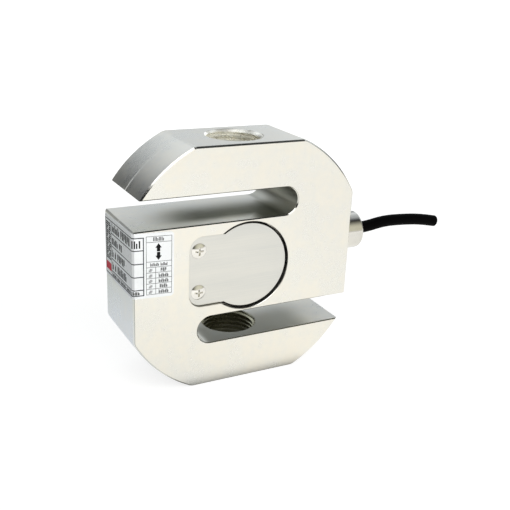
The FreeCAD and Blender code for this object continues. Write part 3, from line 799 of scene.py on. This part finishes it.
def add_arrow(marks, middle, low, high):
    """A double-headed upright arrow in two halves."""
    head, half_head, half_shaft, gap = 1.35 * MM, 0.98 * MM, 0.5 * MM, 0.10 * MM
    centre = (low + high) / 2
    for tip, way in ((high, 1), (low, -1)):
        neck = tip - way * head
        start = centre + way * gap
        marks.bar(middle - half_shaft, middle + half_shaft,
                  min(start, neck), max(start, neck))
        marks.prism([(middle - half_head, neck), (middle + half_head, neck),
                     (middle, tip)])


def add_front_marks(black):
    """The front's arrow and marks."""
    add_arrow(black, ARROW_MIDDLE, ARROW_LOW, ARROW_HIGH)
    black.words(**HEADER_WORDS)
    black.words(**CAPTION_WORDS)
    for level, length in zip(TABLE_LEVELS[2:], TABLE_SECOND_LENGTHS):
        black.words(low=level + 0.30 * MM, **TABLE_FIRST_WORDS)
        black.words(left=TABLE_SECOND_MIDDLE - length * 0.31 * MM, low=level + 0.28 * MM,
                    words=[length], **TABLE_SECOND_WORDS)


def add_row_marks(black):
    """The marks in the box of rows, with the side's column turned on its side."""
    for level, (words, high) in zip(ROW_LEVELS[1:], SIDE_ROWS):
        black.words(low=level + 0.9 * MM, high=high * MM, words=words, **SIDE_WORDS)
    for kind, left in FRONT_MARKS:
        black.glyph(kind, left, low=ROW_LEVELS[1] + 0.85 * MM, wide=1.25 * MM,
                    high=2.3 * MM, stroke=0.42 * MM)
    black.words(**FOOT_WORDS)
    for column in range(SIDE_COLUMNS):
        for order in range(SIDE_COLUMN_MARKS):
            black.glyph(order * 2 + column, left=(-23.6 + 2.3 * column) * MM,
                        low=(6.6 - order * 1.35) * MM, wide=2.0 * MM, high=1.15 * MM,
                        stroke=0.5 * MM, upright=False)


def add_label_print():
    """The label's lines, marks, table and red field, one piece for each."""
    lines, black, dark, red = Print(), Print(), Print(), Print()
    add_row_box(lines)
    add_table(dark)
    add_front_marks(black)
    add_row_marks(black)
    red.bar(*RED_FIELD)
    lines.piece("label_lines", "ink_grey")
    black.piece("label_marks", "ink_black")
    dark.piece("label_table", "ink_grey")
    red.piece("label_red_field", "ink_red")


add_label_print()


# ---- Stage, lights and camera ----

FLOOR_SIZE = 40.0
STUDIO_DARK = 0.02
# The floor's glow, which only the metal shows: before, beside and behind the object
GLOW_FRONT = (0.81, 0.79, 0.74)
GLOW_FRONT_FAR = (0.87, 0.85, 0.805)
GLOW_FRONT_SIDE = (0.73, 0.715, 0.685)
GLOW_BACK = (0.54, 0.58, 0.655)
GLOW_BACK_FAR = (0.34, 0.37, 0.33)
FLOOR_PLAIN = (0.70, 0.69, 0.68)
FLOOR_MIRRORED = (0.30, 0.30, 0.295)
# Distances on the floor over which each change takes place
FRONT_TO_BACK = (-0.03, 0.03)
NEAR_TO_FAR = (0.03, 0.12)
MIDDLE_TO_SIDE = (0.03, 0.13)
UNDER_TO_OPEN = (-0.002, 0.007)
# The camera sees the floor grow brighter, past white, over these distances
WHITENING = (0.06, 0.5, 0.79, 1.1)


def add_floor():
    """A plain pale floor that keeps the object's shadow and shows in its metal."""
    bpy.ops.mesh.primitive_plane_add(size=FLOOR_SIZE, location=(0.0, 0.0, body_low.z))
    floor = bpy.context.object
    floor.name = "floor"
    made = bpy.data.materials.new("floor_white")
    made.use_nodes = True
    graph = Graph(made.node_tree)
    point, parts = graph.place()
    path = graph.add("LightPath").outputs
    camera_ray = path["Is Camera Ray"]
    mirror_ray = graph.calc("MAXIMUM", path["Is Glossy Ray"], path["Is Transmission Ray"])
    seen = graph.calc("MAXIMUM", camera_ray, mirror_ray)

    # How far a point is from the body's foot
    squares = []
    for axis, reach in (("X", body_high.x * 0.6), ("Y", body_high.y)):
        past = graph.calc("SUBTRACT", graph.calc("ABSOLUTE", parts[axis]), reach)
        squares.append(graph.calc("POWER", graph.calc("MAXIMUM", past, 0.0), 2.0))
    away = graph.calc("SQRT", graph.calc("ADD", *squares))

    across = graph.calc("SUBTRACT", graph.calc("MULTIPLY", parts["X"], 0.5), parts["Y"])
    far = graph.remap(away, *NEAR_TO_FAR)
    before = graph.blend(far, opaque(GLOW_FRONT), opaque(GLOW_FRONT_FAR))
    before = graph.blend(graph.remap(parts["X"], *MIDDLE_TO_SIDE),
                         before, opaque(GLOW_FRONT_SIDE))
    behind = graph.blend(far, opaque(GLOW_BACK), opaque(GLOW_BACK_FAR))
    mirrored = graph.blend(graph.remap(across, *FRONT_TO_BACK), behind, before)
    open_floor = graph.remap(away, *UNDER_TO_OPEN)
    plain = graph.remap(away, *WHITENING)
    plain = graph.add("CombineColor", Red=plain, Green=plain, Blue=plain).outputs[0]
    tint = graph.blend(camera_ray, mirrored, plain)
    strength = graph.product(seen, graph.calc("MAXIMUM", open_floor, camera_ray))

    albedo = graph.blend(seen, opaque(FLOOR_PLAIN), opaque(FLOOR_MIRRORED))
    surface = graph.bump(graph.noise(point, 400.0), 0.02, 0.0001)
    diffuse = graph.add("BsdfDiffuse", Color=albedo, Normal=surface)
    glow = graph.add("Emission", Color=tint, Strength=strength)
    total = graph.add("AddShader")
    graph.tree.links.new(diffuse.outputs[0], total.inputs[0])
    graph.tree.links.new(glow.outputs[0], total.inputs[1])
    output = graph.add("OutputMaterial")
    graph.tree.links.new(total.outputs[0], output.inputs["Surface"])
    floor.data.materials.append(made)


# Soft patches of light on the studio's walls and ceiling, in degrees and brightness:
# azimuth from straight behind the object towards its right side, and elevation
PATCHES = [
    (-12, 30, 0.38), (-25, 42, 1.30), (-90, 65, 1.1), (-150, 50, 0.3), (0, 65, 0.6),
    (10, 42, 1.1), (60, 70, 0.5), (12, 22, 0.45), (30, 4, 0.90), (45, 42, 0.95),
    (50, 4, 2.1), (60, 22, 0.2), (85, 42, 0.85), (90, 22, 0.5), (28, 82, 0.75),
]
PATCH_TINT = (0.955, 1.0, 1.035)
PATCH_SPREAD = 26.0
# A broad glow before the object: where it is, its inner and outer radius in degrees
# and its colour
FRONT_GLOW = ((0.45, -0.89, 0.08), 18.0, 58.0, (0.74, 0.72, 0.58))
HORIZON = (0.04, 0.10)         # the pale band along the floor's edge ends here


def add_world():
    """A dim studio, white to the camera, with patches of light for the metal to show."""
    world = bpy.data.worlds.new("studio")
    world.use_nodes = True
    bpy.context.scene.world = world
    graph = Graph(world.node_tree)
    direction = graph.add("TexCoord").outputs["Generated"]

    def patch(towards, inner, outer, brightness):
        """A round patch of light that fades between two radii in degrees."""
        dot = graph.add("VectorMath", {"operation": "DOT_PRODUCT"})
        graph.put(dot.inputs[0], direction)
        graph.put(dot.inputs[1], tuple(Vector(towards).normalized()))
        angle = graph.calc("ARCCOSINE", dot.outputs["Value"])
        return graph.remap(angle, math.radians(inner), math.radians(outer),
                           brightness, 0.0)

    total = STUDIO_DARK
    for azimuth, elevation, brightness in PATCHES:
        turn, rise = math.radians(azimuth), math.radians(elevation)
        towards = (math.sin(turn) * math.cos(rise), math.cos(turn) * math.cos(rise),
                   math.sin(rise))
        total = graph.calc("ADD", total, patch(towards, 0.0, PATCH_SPREAD, brightness))
    towards, inner, outer, front_colour = FRONT_GLOW
    parts = {name: graph.calc("MULTIPLY", total, share)
             for name, share in zip(("Red", "Green", "Blue"), PATCH_TINT)}
    white = graph.add("CombineColor", **parts).outputs[0]
    colour = graph.blend(patch(towards, inner, outer, 1.0), white, opaque(front_colour))
    height = graph.add("SeparateXYZ", Vector=direction).outputs["Z"]
    horizon = graph.remap(height, *HORIZON, 1.0, 0.0)
    colour = graph.blend(horizon, colour, opaque(GLOW_FRONT))
    camera_ray = graph.add("LightPath").outputs["Is Camera Ray"]
    colour = graph.blend(camera_ray, colour, opaque((1.0, 1.0, 1.0)))
    background = graph.add("Background", Color=colour, Strength=1.0)
    output = graph.add("OutputWorld")
    graph.tree.links.new(background.outputs[0], output.inputs["Surface"])


def add_softbox(name, towards, distance, size, radiance, mirrored=True):
    """A round soft lamp that faces the object, of a given brightness."""
    middle = Vector((0.0, 0.0, MID_Z))
    way = Vector(towards).normalized()
    lamp = bpy.data.lights.new(name, "AREA")
    lamp.shape = "DISK"
    lamp.size = size
    lamp.energy = radiance * math.pi * math.pi * (size / 2) ** 2
    holder = bpy.data.objects.new(name, lamp)
    holder.location = middle + way * distance
    holder.rotation_euler = way.to_track_quat("Z", "Y").to_euler()
    holder.visible_glossy = mirrored
    bpy.context.scene.collection.objects.link(holder)


# The camera stands front left and looks a little down, past the body's middle
CAMERA_AZIMUTH = math.radians(-28.65)
CAMERA_ELEVATION = math.radians(20.25)
CAMERA_ROLL = math.radians(2.59)
CAMERA_DISTANCE = 248.8 * MM
CAMERA_ASIDE = 7.95 * MM
CAMERA_DROP = 0.47 * MM
CAMERA_LENS = 54.93
SENSOR_WIDTH = 36.0


def add_camera():
    """The camera of the photo's view, with its small roll."""
    back = Vector((math.sin(CAMERA_AZIMUTH) * math.cos(CAMERA_ELEVATION),
                   -math.cos(CAMERA_AZIMUTH) * math.cos(CAMERA_ELEVATION),
                   math.sin(CAMERA_ELEVATION)))
    right = Vector((math.cos(CAMERA_AZIMUTH), math.sin(CAMERA_AZIMUTH), 0.0))
    up = back.cross(right)
    data = bpy.data.cameras.new("camera")
    data.lens = CAMERA_LENS
    data.sensor_width = SENSOR_WIDTH
    data.clip_start = 0.01
    data.clip_end = 100.0
    holder = bpy.data.objects.new("camera", data)
    rolled_right = right * math.cos(CAMERA_ROLL) + up * math.sin(CAMERA_ROLL)
    rolled_up = up * math.cos(CAMERA_ROLL) - right * math.sin(CAMERA_ROLL)
    place = (Vector((0.0, 0.0, MID_Z)) + back * CAMERA_DISTANCE
             + right * CAMERA_ASIDE - up * CAMERA_DROP)
    turn = Matrix((rolled_right, rolled_up, back)).transposed()
    holder.matrix_world = Matrix.Translation(place) @ turn.to_4x4()
    bpy.context.scene.collection.objects.link(holder)
    bpy.context.scene.camera = holder


add_floor()
add_world()
add_softbox("overhead_softbox", towards=(-0.26, -0.57, 0.78), distance=0.8, size=0.77,
            radiance=1.9)
add_softbox("front_fill", towards=(0.60, -0.75, 0.25), distance=0.9, size=0.9,
            radiance=3.3, mirrored=False)
add_camera()
bpy.context.scene.view_settings.view_transform = "Standard"
